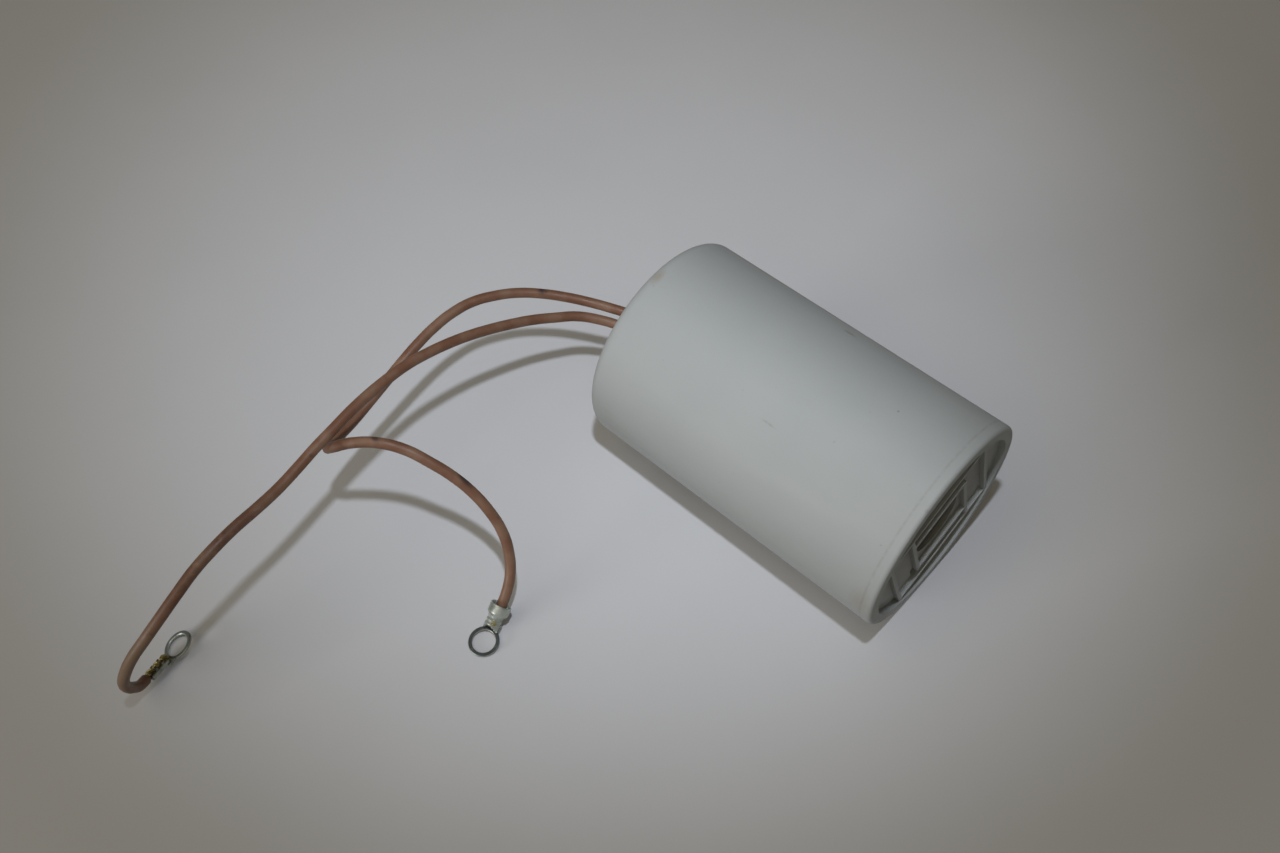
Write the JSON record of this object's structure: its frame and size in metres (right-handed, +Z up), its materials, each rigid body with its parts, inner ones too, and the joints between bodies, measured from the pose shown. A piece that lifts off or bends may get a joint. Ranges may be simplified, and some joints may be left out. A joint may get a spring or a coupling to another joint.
{
  "type": "motor run capacitor",
  "caption": "Round plastic motor run capacitor lying on its side, with a moulded clip end, a resin-sealed lead end and leads crimped into ring terminals.",
  "frame": {"origin": "on the floor under the middle of the can", "axes": "+X along the can's axis to the lead end, +Y to the side where the leads lie, +Z up"},
  "size_m": [0.1157, 0.1597, 0.05],
  "materials": {
    "case_plastic": "satin moulded off-white plastic, lightly soiled",
    "seal_resin": "cast resin",
    "lead_insulation": "soft satin insulation with scuffs",
    "tinned_metal": "dull tinned sheet with brass showing through",
    "copper_strands": "tarnished copper strands"
  },
  "bodies": {
    "root": {"case": "case_plastic", "end_seal": "seal_resin", "lead_near": "lead_insulation", "lead_far": "lead_insulation", "terminal_near": "tinned_metal", "terminal_far": "tinned_metal", "strands_near": "copper_strands", "strands_far": "copper_strands"}
  },
  "joints": []
}
